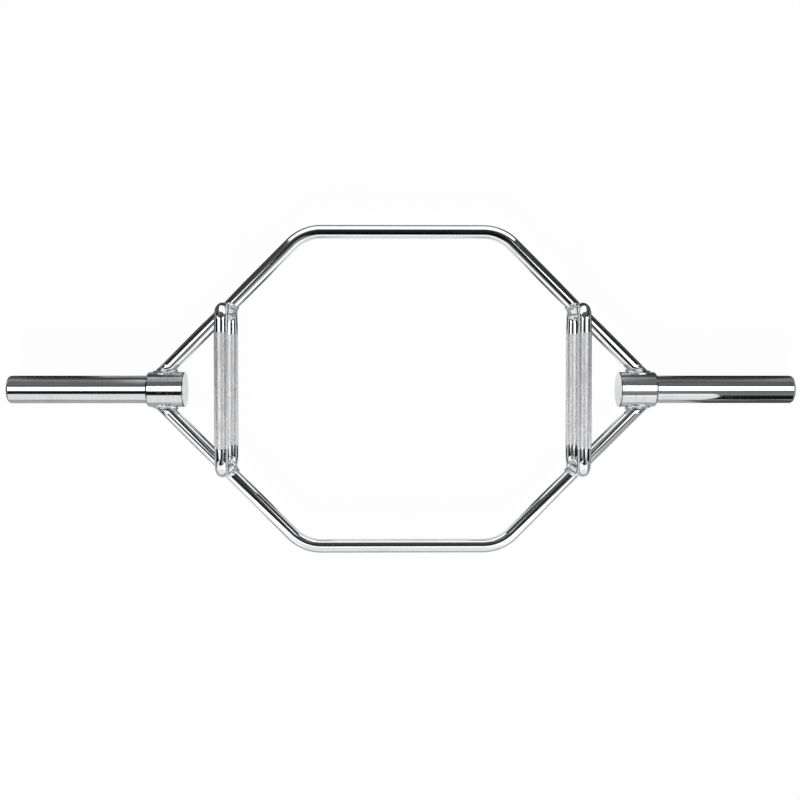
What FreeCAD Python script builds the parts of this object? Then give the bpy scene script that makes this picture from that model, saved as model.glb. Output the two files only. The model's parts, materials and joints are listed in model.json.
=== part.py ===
import FreeCAD, Part
import Sketcher
import os

# Hex trap bar, in millimetres and degrees. The origin is on the ground under the middle of the bar,
# +X runs along the sleeves to the right, +Y to the rear and +Z up. Each piece is drawn about the
# sleeve axis, at a height of zero, and its placement lifts it so that the collars touch the ground.

SIZES = (
    ("bar_length", 1420, "over both sleeve tips"),
    ("sleeve_dia", 50, "outside of the sleeve where plates slide on"),
    ("sleeve_root_step", 0.4, "how far the sleeve's root inside the collar stands proud of it"),
    ("sleeve_wall", 8, "wall of the sleeve tube"),
    ("sleeve_rim", 5, "wall of the sleeve round its plug"),
    ("sleeve_load_length", 250, "sleeve outside the collar"),
    ("sleeve_tip_round", 4, "rounding of the sleeve's outer edge"),
    ("sleeve_root_space", 14, "from the cap's spigot to the sleeve's inner end"),
    ("plug_thickness", 8, "disc in the sleeve's tip"),
    ("plug_recess", 1, "plug face below the sleeve's end face"),
    ("plug_edge", 0.8, "bevel of the plug's face"),
    ("collar_wall", 6.3, "wall of the hub collar, which makes it 63.5 across"),
    ("collar_length", 67, "collar with its cap"),
    ("collar_edge", 1.5, "bevel at both ends of the collar"),
    ("cap_flange", 3, "thickness of the cap's flange"),
    ("cap_spigot", 6, "length of the cap inside the collar"),
    ("cap_edge", 1.2, "bevel of the cap's face"),
    ("root_weld_leg", 5, "ring weld behind the sleeve"),
    ("rail_dia", 25, "rail bar"),
    ("rail_spacing", 570, "between the two rails' centre lines"),
    ("rail_angle", 45, "turn of each rail bend"),
    ("rail_bend_radius", 75, "to the rail's centre line"),
    ("rail_landing_offset", 4.75, "rail's landing, outward of the collar's middle"),
    ("grip_dia", 24, "smooth part of a grip bar"),
    ("knurl_height", 0.3, "knurled band above the smooth bar"),
    ("knurl_length", 204, "knurled band along the grip"),
    ("knurl_runout", 1.5, "taper at each end of the band"),
    ("low_grip_plain_end", 51, "bare bar from the knurl to the rail's centre line"),
    ("raised_grip_plain_end", 19, "bare bar from the knurl to the bend"),
    ("raised_grip_height", 100, "raised grip above the low one"),
    ("raised_bend_radius", 20, "to the raised grip's centre line"),
    ("raised_leg_inset", 8, "leg, inward of the rail's centre line along Y"),
    ("weld_leg", 4, "thickness of the outer weld beads"),
    ("joint_gap", 0.05, "fit-up gap at a welded joint"),
    ("fit_gap", 0.05, "radial gap of a sleeved joint"),
)

doc = FreeCAD.newDocument("hex_trap_bar")
sheet = doc.addObject("Spreadsheet::Sheet", "Sizes")
for row, (alias, value, note) in enumerate(SIZES, 1):
    sheet.set(f"A{row}", alias)
    sheet.set(f"B{row}", str(value))
    sheet.set(f"C{row}", note)
    sheet.setAlias(f"B{row}", alias)
doc.recompute()

# Places along the sleeve axis, from the middle of the bar outward.
HALF_LENGTH = "(Sizes.bar_length / 2)"
COLLAR_OUTER = f"({HALF_LENGTH} - Sizes.sleeve_load_length)"
COLLAR_MIDDLE = f"({COLLAR_OUTER} - Sizes.collar_length / 2)"
CAP_FACE = f"({COLLAR_OUTER} - Sizes.collar_length)"
COLLAR_INNER = f"({CAP_FACE} + Sizes.cap_flange)"
SPIGOT_END = f"({COLLAR_INNER} + Sizes.cap_spigot)"
SLEEVE_ROOT = f"({SPIGOT_END} + Sizes.sleeve_root_space)"
PLUG_FACE = f"({HALF_LENGTH} - Sizes.plug_recess)"
PLUG_SEAT = f"({PLUG_FACE} - Sizes.plug_thickness)"

# Radii.
SLEEVE_R = "(Sizes.sleeve_dia / 2)"
SLEEVE_ROOT_R = f"({SLEEVE_R} + Sizes.sleeve_root_step)"
SLEEVE_BORE_R = f"({SLEEVE_R} - Sizes.sleeve_wall)"
PLUG_SEAT_R = f"({SLEEVE_R} - Sizes.sleeve_rim)"
PLUG_R = f"({PLUG_SEAT_R} - Sizes.fit_gap)"
COLLAR_BORE_R = f"({SLEEVE_ROOT_R} + Sizes.fit_gap)"
COLLAR_R = f"({COLLAR_BORE_R} + Sizes.collar_wall)"
SPIGOT_R = f"({COLLAR_BORE_R} - Sizes.fit_gap)"
RAIL_R = "(Sizes.rail_dia / 2)"
GRIP_R = "(Sizes.grip_dia / 2)"
KNURL_R = f"({GRIP_R} + Sizes.knurl_height)"
KNURL_END = "(Sizes.knurl_length / 2)"
KNURL_FULL = f"({KNURL_END} - Sizes.knurl_runout)"

# A rail's diagonal leaves the sleeve axis at RAIL_FOOT and would meet the straight run at RAIL_CORNER.
AXIS_HEIGHT = COLLAR_R
RAIL_SLOPE = "tan(Sizes.rail_angle)"
RAIL_Y = "(Sizes.rail_spacing / 2)"
RAIL_LANDING = f"({COLLAR_MIDDLE} + Sizes.rail_landing_offset)"
RAIL_FOOT = f"({RAIL_LANDING} + {COLLAR_R} / {RAIL_SLOPE})"
RAIL_CORNER = f"({RAIL_FOOT} - {RAIL_Y} / {RAIL_SLOPE})"
RAIL_DIAGONAL = f"({RAIL_Y} / sin(Sizes.rail_angle))"
BEND_TANGENT = "(Sizes.rail_bend_radius * tan(Sizes.rail_angle / 2))"

# A grip is as long as its knurl and bare ends need, and stands where the diagonals are that far apart.
LOW_END = f"({KNURL_END} + Sizes.low_grip_plain_end)"
LOW_X = f"({RAIL_FOOT} - {LOW_END} / {RAIL_SLOPE})"
LEG_Y = f"({KNURL_END} + Sizes.raised_grip_plain_end + Sizes.raised_bend_radius)"
RAISED_X = f"({RAIL_FOOT} - ({LEG_Y} + Sizes.raised_leg_inset) / {RAIL_SLOPE})"
LEG_WELD_BASE = f"({RAIL_R} - 2 * Sizes.weld_leg)"
LEG_WELD_HEIGHT = "(4 * Sizes.weld_leg)"

FULL_TURN = 360
HALF_TURN = 180
QUARTER_TURN = 90
SAME_PLACE = 0.001
SIDES = (("right", 1), ("left", -1))
ENDS = (("rear", 1), ("front", -1))

nodes = {}


def amount(expression):
    return float(sheet.evalExpression(str(expression)))


def bind(item, **expressions):
    for name, expression in expressions.items():
        item.setExpression(name, str(expression))


def place(x, y, z, yaw=0, pitch=0):
    return f"placement(vector({x}; {y}; {z}); rotation({yaw}; {pitch}; 0))"


def new_body(label, turned):
    # A left or front piece is the right or rear one, turned half a turn about the bar's middle.
    body = doc.addObject("PartDesign::Body", label)
    body.Label = label
    bind(body, Placement=place(0, 0, AXIS_HEIGHT, yaw=HALF_TURN if turned else 0))
    nodes[label] = body
    return body


def origin_plane(body, role):
    return next(item for item in body.Origin.OriginFeatures if item.Role == role)


def new_sketch(body, purpose, role):
    sketch = body.newObject("Sketcher::SketchObject", f"{body.Name}_{purpose}")
    sketch.AttachmentSupport = (origin_plane(body, role), [""])
    sketch.MapMode = "FlatFace"
    return sketch


def point(x, y):
    return FreeCAD.Vector(amount(x), amount(y), 0)


def pin_point(sketch, line, end, x, y):
    for kind, expression in (("DistanceX", x), ("DistanceY", y)):
        index = sketch.addConstraint(Sketcher.Constraint(kind, -1, 1, line, end, amount(expression)))
        sketch.setExpression(f"Constraints[{index}]", str(expression))


def set_radius(sketch, ring, radius):
    index = sketch.addConstraint(Sketcher.Constraint("Radius", ring, amount(radius)))
    sketch.setExpression(f"Constraints[{index}]", str(radius))


def draw_outline(sketch, corners):
    # A closed outline of straight lines, with each corner pinned.
    count = len(corners)
    for index in range(count):
        start = point(*corners[index])
        end = point(*corners[(index + 1) % count])
        sketch.addGeometry(Part.LineSegment(start, end))
    for index in range(count):
        before = (index - 1) % count
        sketch.addConstraint(Sketcher.Constraint("Coincident", before, 2, index, 1))
        pin_point(sketch, index, 1, *corners[index])


def draw_circle(sketch, x, y, radius):
    ring = sketch.addGeometry(Part.Circle(point(x, y), FreeCAD.Vector(0, 0, 1), amount(radius)))
    pin_point(sketch, ring, 3, x, y)
    set_radius(sketch, ring, radius)


def draw_bent_path(sketch, start, bend_in, bend_out, end, centre, radius, clockwise):
    # Two straight runs joined by one arc. An arc is drawn anticlockwise, whichever way the path goes.
    run_in = sketch.addGeometry(Part.LineSegment(point(*start), point(*bend_in)))
    run_out = sketch.addGeometry(Part.LineSegment(point(*bend_out), point(*end)))
    ends = [(bend_in, run_in, 2), (bend_out, run_out, 1)]
    if clockwise:
        ends.reverse()
    middle = point(*centre)
    first, last = (point(*tangent) - middle for tangent, _, _ in ends)
    crown = (first + last).normalize() * amount(radius)
    arc = sketch.addGeometry(Part.Arc(middle + first, middle + crown, middle + last))
    for arc_end, (_, run, run_end) in enumerate(ends, 1):
        sketch.addConstraint(Sketcher.Constraint("Coincident", arc, arc_end, run, run_end))
    for run, (run_start, run_finish) in ((run_in, (start, bend_in)), (run_out, (bend_out, end))):
        pin_point(sketch, run, 1, *run_start)
        pin_point(sketch, run, 2, *run_finish)
    set_radius(sketch, arc, radius)


def revolve(body, sketch, axis):
    round_piece = body.newObject("PartDesign::Revolution", f"{sketch.Name}_revolved")
    round_piece.Profile = sketch
    round_piece.ReferenceAxis = (sketch, [axis])
    round_piece.Angle = FULL_TURN
    return round_piece


def turn_about_axis(body, outline):
    # A turned piece on the sleeve axis: its outline holds places along X and radii.
    sketch = new_sketch(body, "outline", "XY_Plane")
    draw_outline(sketch, outline)
    return revolve(body, sketch, "H_Axis")


def sweep_and_mirror(body, path, section, role):
    bar = body.newObject("PartDesign::AdditivePipe", f"{body.Name}_half")
    bar.Profile = section
    bar.Spine = path
    whole = body.newObject("PartDesign::Mirrored", f"{body.Name}_whole")
    whole.Originals = [bar]
    whole.MirrorPlane = (origin_plane(body, role), [""])
    body.Tip = whole


def cope(body, purpose, radius, length, placement):
    cut = body.newObject("PartDesign::SubtractiveCylinder", f"{body.Name}_{purpose}")
    bind(cut, Radius=radius, Height=length, Placement=placement)
    body.Tip = cut


def rail_heading(side, end):
    # The way a diagonal runs from the collar to the corner of the hexagon, about +Z from +X.
    return f"({end} * ({QUARTER_TURN} + {side} * ({QUARTER_TURN} - Sizes.rail_angle)))"


def make_rail(label, turned):
    body = new_body(label, turned)
    path = new_sketch(body, "path", "XY_Plane")
    bend_start = f"({RAIL_CORNER} - {BEND_TANGENT})"
    draw_bent_path(
        path,
        start=("0", RAIL_Y),
        bend_in=(bend_start, RAIL_Y),
        bend_out=(
            f"({RAIL_CORNER} + {BEND_TANGENT} * cos(Sizes.rail_angle))",
            f"({RAIL_Y} - {BEND_TANGENT} * sin(Sizes.rail_angle))",
        ),
        end=(RAIL_FOOT, "0"),
        centre=(bend_start, f"({RAIL_Y} - Sizes.rail_bend_radius)"),
        radius="Sizes.rail_bend_radius",
        clockwise=True,
    )
    section = new_sketch(body, "section", "YZ_Plane")
    draw_circle(section, RAIL_Y, "0", RAIL_R)
    sweep_and_mirror(body, path, section, "YZ_Plane")
    # One long cylinder on the sleeve axis copes both ends to the collars.
    cope(
        body,
        "collar_cope",
        f"{COLLAR_R} + Sizes.joint_gap",
        "Sizes.bar_length",
        place(f"-{HALF_LENGTH}", 0, 0, pitch=QUARTER_TURN),
    )


def cope_to_rails(body):
    for name, end in ENDS:
        placement = place(RAIL_FOOT, 0, 0, yaw=rail_heading(1, end), pitch=QUARTER_TURN)
        cope(body, f"{name}_rail_cope", f"{RAIL_R} + Sizes.joint_gap", RAIL_DIAGONAL, placement)


def make_low_grip(label, turned):
    body = new_body(label, turned)
    sketch = new_sketch(body, "outline", "XY_Plane")
    bind(sketch, **{"AttachmentOffset.Base.x": LOW_X})
    draw_outline(
        sketch,
        (
            ("0", f"-{LOW_END}"),
            (GRIP_R, f"-{LOW_END}"),
            (GRIP_R, f"-{KNURL_END}"),
            (KNURL_R, f"-{KNURL_FULL}"),
            (KNURL_R, KNURL_FULL),
            (GRIP_R, KNURL_END),
            (GRIP_R, LOW_END),
            ("0", LOW_END),
        ),
    )
    revolve(body, sketch, "V_Axis")
    cope_to_rails(body)


def make_raised_grip(label, turned):
    body = new_body(label, turned)
    path = new_sketch(body, "path", "YZ_Plane")
    bind(path, **{"AttachmentOffset.Base.z": RAISED_X})
    top = "Sizes.raised_grip_height"
    bend_base = f"({top} - Sizes.raised_bend_radius)"
    bend_end = f"({LEG_Y} - Sizes.raised_bend_radius)"
    draw_bent_path(
        path,
        start=(LEG_Y, "0"),
        bend_in=(LEG_Y, bend_base),
        bend_out=(bend_end, top),
        end=("0", top),
        centre=(bend_end, bend_base),
        radius="Sizes.raised_bend_radius",
        clockwise=False,
    )
    section = new_sketch(body, "section", "XY_Plane")
    draw_circle(section, RAISED_X, LEG_Y, GRIP_R)
    sweep_and_mirror(body, path, section, "XZ_Plane")
    band = new_sketch(body, "knurl", "YZ_Plane")
    bind(band, **{"AttachmentOffset.Base.z": RAISED_X, "AttachmentOffset.Base.y": top})
    draw_outline(
        band,
        (
            (f"-{KNURL_END}", "0"),
            (f"-{KNURL_END}", GRIP_R),
            (f"-{KNURL_FULL}", KNURL_R),
            (KNURL_FULL, KNURL_R),
            (KNURL_END, GRIP_R),
            (KNURL_END, "0"),
        ),
    )
    body.Tip = revolve(body, band, "H_Axis")
    cope_to_rails(body)
    cope(
        body,
        "low_grip_cope",
        f"{GRIP_R} + Sizes.joint_gap",
        f"2 * {LOW_END}",
        place(LOW_X, LOW_END, 0, yaw=-QUARTER_TURN, pitch=QUARTER_TURN),
    )


def make_collar(label, turned):
    body = new_body(label, turned)
    bevel_r = f"({COLLAR_R} - Sizes.collar_edge)"
    turn_about_axis(
        body,
        (
            (COLLAR_INNER, COLLAR_BORE_R),
            (COLLAR_INNER, bevel_r),
            (f"({COLLAR_INNER} + Sizes.collar_edge)", COLLAR_R),
            (f"({COLLAR_OUTER} - Sizes.collar_edge)", COLLAR_R),
            (COLLAR_OUTER, bevel_r),
            (COLLAR_OUTER, COLLAR_BORE_R),
        ),
    )


def make_collar_cap(label, turned):
    body = new_body(label, turned)
    turn_about_axis(
        body,
        (
            (CAP_FACE, "0"),
            (CAP_FACE, f"({COLLAR_R} - Sizes.cap_edge)"),
            (f"({CAP_FACE} + Sizes.cap_edge)", COLLAR_R),
            (COLLAR_INNER, COLLAR_R),
            (COLLAR_INNER, SPIGOT_R),
            (SPIGOT_END, SPIGOT_R),
            (SPIGOT_END, "0"),
        ),
    )


def outer_rim(shape, x, radius):
    # The round edges of this radius in the plane that crosses the sleeve axis at x.
    names = []
    for index, edge in enumerate(shape.Edges, 1):
        if not isinstance(edge.Curve, Part.Circle):
            continue
        if abs(edge.Curve.Center.x - x) < SAME_PLACE and abs(edge.Curve.Radius - radius) < SAME_PLACE:
            names.append(f"Edge{index}")
    return names


def make_sleeve(label, turned):
    body = new_body(label, turned)
    tube = turn_about_axis(
        body,
        (
            (SLEEVE_ROOT, SLEEVE_BORE_R),
            (SLEEVE_ROOT, SLEEVE_ROOT_R),
            (COLLAR_OUTER, SLEEVE_ROOT_R),
            (COLLAR_OUTER, SLEEVE_R),
            (HALF_LENGTH, SLEEVE_R),
            (HALF_LENGTH, PLUG_SEAT_R),
            (PLUG_SEAT, PLUG_SEAT_R),
            (PLUG_SEAT, SLEEVE_BORE_R),
        ),
    )
    doc.recompute()
    rounded = body.newObject("PartDesign::Fillet", f"{label}_tip")
    rounded.Base = (tube, outer_rim(tube.Shape, amount(HALF_LENGTH), amount(SLEEVE_R)))
    bind(rounded, Radius="Sizes.sleeve_tip_round")
    body.Tip = rounded


def make_sleeve_plug(label, turned):
    body = new_body(label, turned)
    turn_about_axis(
        body,
        (
            (PLUG_SEAT, "0"),
            (PLUG_SEAT, PLUG_R),
            (f"({PLUG_FACE} - Sizes.plug_edge)", PLUG_R),
            (PLUG_FACE, f"({PLUG_R} - Sizes.plug_edge)"),
            (PLUG_FACE, "0"),
        ),
    )


def make_sleeve_root_weld(label, turned):
    body = new_body(label, turned)
    turn_about_axis(
        body,
        (
            (SLEEVE_ROOT, COLLAR_BORE_R),
            (SLEEVE_ROOT, f"({COLLAR_BORE_R} - Sizes.root_weld_leg)"),
            (f"({SLEEVE_ROOT} - Sizes.root_weld_leg)", COLLAR_BORE_R),
        ),
    )


def rod(name, radius, length, placement):
    item = doc.addObject("Part::Cylinder", name)
    bind(item, Radius=radius, Height=length, Placement=placement)
    return item


def core_and_skin(name, radius, length, placement):
    # The bar itself with its fit-up gap, and the same bar with a weld's thickness round it.
    core = rod(f"{name}_core", f"{radius} + Sizes.joint_gap", length, placement)
    skin = rod(f"{name}_skin", f"{radius} + Sizes.weld_leg", length, placement)
    return core, skin


def overlap(name, base, tool):
    item = doc.addObject("Part::Common", name)
    item.Base = base
    item.Tool = tool
    return item


def keep_bead(label, base, tools):
    for index, tool in enumerate(tools):
        cut = doc.addObject("Part::Cut", f"{label}_cut_{index}")
        cut.Base = base
        cut.Tool = tool
        base = cut
    base.Label = label
    nodes[label] = base


def make_corner_welds(corner, side, end):
    # A bead fills the corner between two bars: what lies within a weld's thickness of both.
    facing = 0 if side > 0 else HALF_TURN
    collar_core, collar_skin = core_and_skin(
        f"{corner}_collar",
        COLLAR_R,
        "Sizes.collar_length",
        place(f"{side} * {CAP_FACE}", 0, AXIS_HEIGHT, yaw=facing, pitch=QUARTER_TURN),
    )
    rail_core, rail_skin = core_and_skin(
        f"{corner}_rail",
        RAIL_R,
        RAIL_DIAGONAL,
        place(f"{side} * {RAIL_FOOT}", 0, AXIS_HEIGHT, yaw=rail_heading(side, end), pitch=QUARTER_TURN),
    )
    grip_core, grip_skin = core_and_skin(
        f"{corner}_grip",
        GRIP_R,
        LOW_END,
        place(f"{side} * {LOW_X}", 0, AXIS_HEIGHT, yaw=end * QUARTER_TURN, pitch=QUARTER_TURN),
    )
    leg_core, leg_skin = core_and_skin(
        f"{corner}_leg",
        GRIP_R,
        LEG_WELD_HEIGHT,
        place(f"{side} * {RAISED_X}", f"{end} * {LEG_Y}", f"{AXIS_HEIGHT} + {LEG_WELD_BASE}"),
    )
    collar_bead = overlap(f"{corner}_collar_bead", rail_skin, collar_skin)
    keep_bead(f"{corner}_collar_weld", collar_bead, (collar_core, rail_core))
    low_bead = overlap(f"{corner}_low_bead", grip_skin, rail_skin)
    keep_bead(f"{corner}_low_grip_weld", low_bead, (rail_core, grip_core, leg_skin))
    frame_skin = doc.addObject("Part::Fuse", f"{corner}_frame_skin")
    frame_skin.Base = rail_skin
    frame_skin.Tool = grip_skin
    leg_bead = overlap(f"{corner}_leg_bead", leg_skin, frame_skin)
    keep_bead(f"{corner}_raised_grip_weld", leg_bead, (leg_core, rail_core, grip_core))


for name, end in ENDS:
    make_rail(f"{name}_rail", turned=end < 0)
for name, side in SIDES:
    turned = side < 0
    make_collar(f"{name}_collar", turned)
    make_collar_cap(f"{name}_collar_cap", turned)
    make_sleeve(f"{name}_sleeve", turned)
    make_sleeve_plug(f"{name}_sleeve_plug", turned)
    make_sleeve_root_weld(f"{name}_sleeve_root_weld", turned)
    make_low_grip(f"{name}_low_grip", turned)
    make_raised_grip(f"{name}_raised_grip", turned)
    for end_name, end in ENDS:
        make_corner_welds(f"{name}_{end_name}", side, end)
doc.recompute()

for item in doc.Objects:
    if "Invalid" in item.State or "Error" in item.State:
        raise RuntimeError(f"{item.Label} failed: {item.State}")
    is_cope = item.TypeId == "PartDesign::SubtractiveCylinder"
    if is_cope and item.Shape.Volume >= item.BaseFeature.Shape.Volume:
        raise RuntimeError(f"{item.Label} cuts nothing")
for label, item in nodes.items():
    if item.Shape.isNull() or not item.Shape.isValid() or not item.Shape.Solids:
        raise RuntimeError(f"{label} has no valid solid")

os.makedirs("parts", exist_ok=True)
for label, item in nodes.items():
    item.Shape.exportStep(f"parts/{label}.step")
    print(label, len(item.Shape.Solids), round(item.Shape.Volume))
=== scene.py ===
import json
import math

import bmesh
import bpy
import numpy as np
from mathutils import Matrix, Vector


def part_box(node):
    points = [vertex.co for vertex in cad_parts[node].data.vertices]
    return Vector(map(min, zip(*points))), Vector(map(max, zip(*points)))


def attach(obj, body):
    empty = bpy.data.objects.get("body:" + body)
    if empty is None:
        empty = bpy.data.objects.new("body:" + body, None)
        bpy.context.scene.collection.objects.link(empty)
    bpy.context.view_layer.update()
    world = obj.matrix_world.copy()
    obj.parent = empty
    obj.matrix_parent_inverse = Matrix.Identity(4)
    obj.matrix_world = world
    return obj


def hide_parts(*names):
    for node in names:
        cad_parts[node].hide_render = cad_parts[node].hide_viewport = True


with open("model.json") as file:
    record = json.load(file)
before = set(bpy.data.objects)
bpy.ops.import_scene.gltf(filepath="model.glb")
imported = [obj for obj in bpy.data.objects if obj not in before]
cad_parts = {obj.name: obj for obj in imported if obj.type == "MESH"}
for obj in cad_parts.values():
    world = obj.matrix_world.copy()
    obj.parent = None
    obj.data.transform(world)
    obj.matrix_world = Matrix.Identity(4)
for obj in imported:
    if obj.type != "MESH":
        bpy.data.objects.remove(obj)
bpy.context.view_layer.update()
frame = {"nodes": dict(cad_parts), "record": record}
scene = bpy.context.scene
scene.view_settings.view_transform = "Standard"
print("frame:", len(frame["nodes"]), "CAD nodes")

sides = {"right": 1, "left": -1}
ends = {"rear": 1, "front": -1}
millimetre = 0.001


def nodeSpan(node):
    low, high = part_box(node)
    return np.array(low), np.array(high)


railLow, railHigh = nodeSpan("rear_rail")
collarLow, collarHigh = nodeSpan("right_collar")
capLow, capHigh = nodeSpan("right_collar_cap")
sleeveLow, sleeveHigh = nodeSpan("right_sleeve")
plugLow, plugHigh = nodeSpan("right_sleeve_plug")
lowGripLow, lowGripHigh = nodeSpan("right_low_grip")
raisedLow, raisedHigh = nodeSpan("right_raised_grip")
loadPin = next(m for m in frame["record"]["mounts"] if m["name"] == "right_sleeve")

axisZ = float(loadPin["pos_m"][2])
sleeveRadius = loadPin["dims"]["r_mm"] / 1000
railRadius = round((railHigh[2] - railLow[2]) / 2, 4)
railY = round(railHigh[1] - railRadius, 4)
collarRadius = round((collarHigh[2] - collarLow[2]) / 2, 5)
rootRadius = round((sleeveHigh[2] - sleeveLow[2]) / 2, 4)
plugRadius = round((plugHigh[2] - plugLow[2]) / 2, 5)
peakRadius = round((lowGripHigh[0] - lowGripLow[0]) / 2, 4)
lowX = round((lowGripHigh[0] + lowGripLow[0]) / 2, 4)
raisedX = round((raisedHigh[0] + raisedLow[0]) / 2, 4)
raisedTop = round(raisedHigh[2] - peakRadius, 5)
print("rail", railRadius, "at y", railY, "collar", collarRadius, "sleeve", sleeveRadius, "grip", peakRadius)


# nodes and node groups

def addNode(tree, kind, inputs=None, **settings):
    node = tree.nodes.new(kind)
    for key, value in settings.items():
        setattr(node, key, value)
    for key, value in (inputs or {}).items():
        if isinstance(value, bpy.types.NodeSocket):
            tree.links.new(value, node.inputs[key])
        else:
            node.inputs[key].default_value = value
    return node


def mathNode(tree, operation, first, second=0.0):
    return addNode(tree, "ShaderNodeMath", {0: first, 1: second}, operation=operation).outputs[0]


def remap(tree, value, low, high, toLow=0.0, toHigh=1.0):
    inputs = {"Value": value, "From Min": low, "From Max": high, "To Min": toLow, "To Max": toHigh}
    return addNode(tree, "ShaderNodeMapRange", inputs, interpolation_type="SMOOTHSTEP").outputs[0]


def noise(tree, place, size, detail, **extra):
    inputs = {"Vector": place, "Scale": size, "Detail": detail, **extra}
    return addNode(tree, "ShaderNodeTexNoise", inputs).outputs[0]


def blendColour(tree, factor, first, second):
    node = addNode(tree, "ShaderNodeMix", {"Factor": factor}, data_type="RGBA")
    for socket, value in ((node.inputs[6], first), (node.inputs[7], second)):
        if isinstance(value, bpy.types.NodeSocket):
            tree.links.new(value, socket)
        else:
            socket.default_value = (*value, 1.0)
    return node.outputs[2]


def startGroup(name, inputs, outputs):
    tree = bpy.data.node_groups.new(name, "ShaderNodeTree")
    for label, kind, value in inputs:
        socket = tree.interface.new_socket(label, in_out="INPUT", socket_type="NodeSocket" + kind)
        if value is not None:
            socket.default_value = value
    for label in outputs:
        tree.interface.new_socket(label, in_out="OUTPUT", socket_type="NodeSocketFloat")
    return tree, tree.nodes.new("NodeGroupInput").outputs, tree.nodes.new("NodeGroupOutput").inputs


polishShape = {"driftSize": 38.0, "driftFade": (0.35, 0.70), "faintest": 0.25, "lineFade": (0.32, 0.68),
               "scratchSize": 0.31, "scratchFade": (0.62, 0.72)}
hazeShape = {"detail": 6.0, "broken": 0.62, "swirl": 0.6, "fade": (0.42, 0.72),
             "waveShare": 4.0, "waveDetail": 1.5}
pitShape = {"spotFade": (0.10, 0.22), "rareFade": (0.93, 0.95)}


def makePolishLines(shape):
    wanted = [("Run", "Vector", None), ("Along", "Float", 20.0), ("Around", "Float", 900.0)]
    tree, given, result = startGroup("polishLines", wanted, ["Lines", "Scratches"])
    stretch = addNode(tree, "ShaderNodeCombineXYZ", {"X": given["Along"], "Y": given["Around"]})
    spot = addNode(tree, "ShaderNodeVectorMath", {0: given["Run"], 1: stretch.outputs[0]},
                   operation="MULTIPLY").outputs[0]
    fine = noise(tree, spot, 1.0, 4.0)
    drift = noise(tree, given["Run"], shape["driftSize"], 2.0)
    patch = remap(tree, drift, *shape["driftFade"], shape["faintest"], 1.0)
    streak = remap(tree, fine, *shape["lineFade"])
    tree.links.new(mathNode(tree, "MULTIPLY", streak, patch), result["Lines"])
    sparse = noise(tree, spot, shape["scratchSize"], 6.0)
    tree.links.new(remap(tree, sparse, *shape["scratchFade"]), result["Scratches"])
    return tree


def makePlateHaze(shape):
    tree, given, result = startGroup("plateHaze", [("Size", "Float", 16.0)], ["Mask", "Waves"])
    place = addNode(tree, "ShaderNodeTexCoord").outputs["Object"]
    cloud = noise(tree, place, given["Size"], shape["detail"],
                  Roughness=shape["broken"], Distortion=shape["swirl"])
    tree.links.new(remap(tree, cloud, *shape["fade"]), result["Mask"])
    size = mathNode(tree, "MULTIPLY", given["Size"], shape["waveShare"])
    tree.links.new(noise(tree, place, size, shape["waveDetail"]), result["Waves"])
    return tree


def makePlatePits(shape):
    tree, given, result = startGroup("platePits", [("Size", "Float", 420.0)], ["Pits"])
    place = addNode(tree, "ShaderNodeTexCoord").outputs["Object"]
    cells = addNode(tree, "ShaderNodeTexVoronoi", {"Vector": place, "Scale": given["Size"]})
    pick = addNode(tree, "ShaderNodeSeparateColor", {"Color": cells.outputs["Color"]})
    spot = remap(tree, cells.outputs["Distance"], *shape["spotFade"], 1.0, 0.0)
    rare = remap(tree, pick.outputs[0], *shape["rareFade"])
    tree.links.new(mathNode(tree, "MULTIPLY", spot, rare), result["Pits"])
    return tree


polishLines = makePolishLines(polishShape)
plateHaze = makePlateHaze(hazeShape)
platePits = makePlatePits(pitShape)


def placeGroup(tree, group, inputs):
    return addNode(tree, "ShaderNodeGroup", inputs, node_tree=group).outputs


def plated(name, look):
    material = bpy.data.materials.new(name)
    material.use_nodes = True
    tree = material.node_tree
    shader = tree.nodes["Principled BSDF"]
    shader.inputs["Metallic"].default_value = look["metal"]
    run = addNode(tree, "ShaderNodeUVMap", uv_map="run").outputs[0]
    lines = placeGroup(tree, polishLines, {"Run": run, "Along": look["along"], "Around": look["around"]})
    haze = placeGroup(tree, plateHaze, {"Size": look["hazeSize"]})
    pits = placeGroup(tree, platePits, {"Size": look["pitSize"]})
    dull = mathNode(tree, "MULTIPLY", haze["Mask"], look["hazeTone"])
    tone = blendColour(tree, dull, look["clean"], look["dull"])
    streaks = mathNode(tree, "MULTIPLY", lines["Lines"], look["lineTone"])
    tone = blendColour(tree, streaks, tone, look["dull"])
    # the knurl's grooves are darkened by their depth: painted shade in the recesses
    if "groove" in look:
        depth = addNode(tree, "ShaderNodeAttribute", attribute_name="groove").outputs["Fac"]
        paintedGrooveShade = remap(tree, depth, look["grooveStart"], 1.0, 0.0, look["grooveTone"])
        tone = blendColour(tree, paintedGrooveShade, tone, look["groove"])
    specks = mathNode(tree, "MULTIPLY", pits["Pits"], look["pitTone"])
    tone = blendColour(tree, specks, tone, look["pit"])
    tree.links.new(tone, shader.inputs["Base Color"])
    rough = remap(tree, haze["Mask"], 0.0, 1.0, look["rough"], look["rough"] + look["hazeRough"])
    for mask, gain in ((lines["Lines"], look["lineRough"]), (lines["Scratches"], look["scratchRough"])):
        rough = mathNode(tree, "ADD", rough, mathNode(tree, "MULTIPLY", mask, gain))
    tree.links.new(rough, shader.inputs["Roughness"])
    height = mathNode(tree, "MULTIPLY", lines["Lines"], look["lineHeight"])
    for mask, gain in ((haze["Waves"], look["waveHeight"]), (lines["Scratches"], -look["scratchDepth"]),
                       (pits["Pits"], -look["pitDepth"])):
        height = mathNode(tree, "ADD", height, mathNode(tree, "MULTIPLY", mask, gain))
    bump = addNode(tree, "ShaderNodeBump", {"Height": height, "Strength": 1.0, "Distance": millimetre})
    tree.links.new(bump.outputs[0], shader.inputs["Normal"])
    return material


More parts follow.
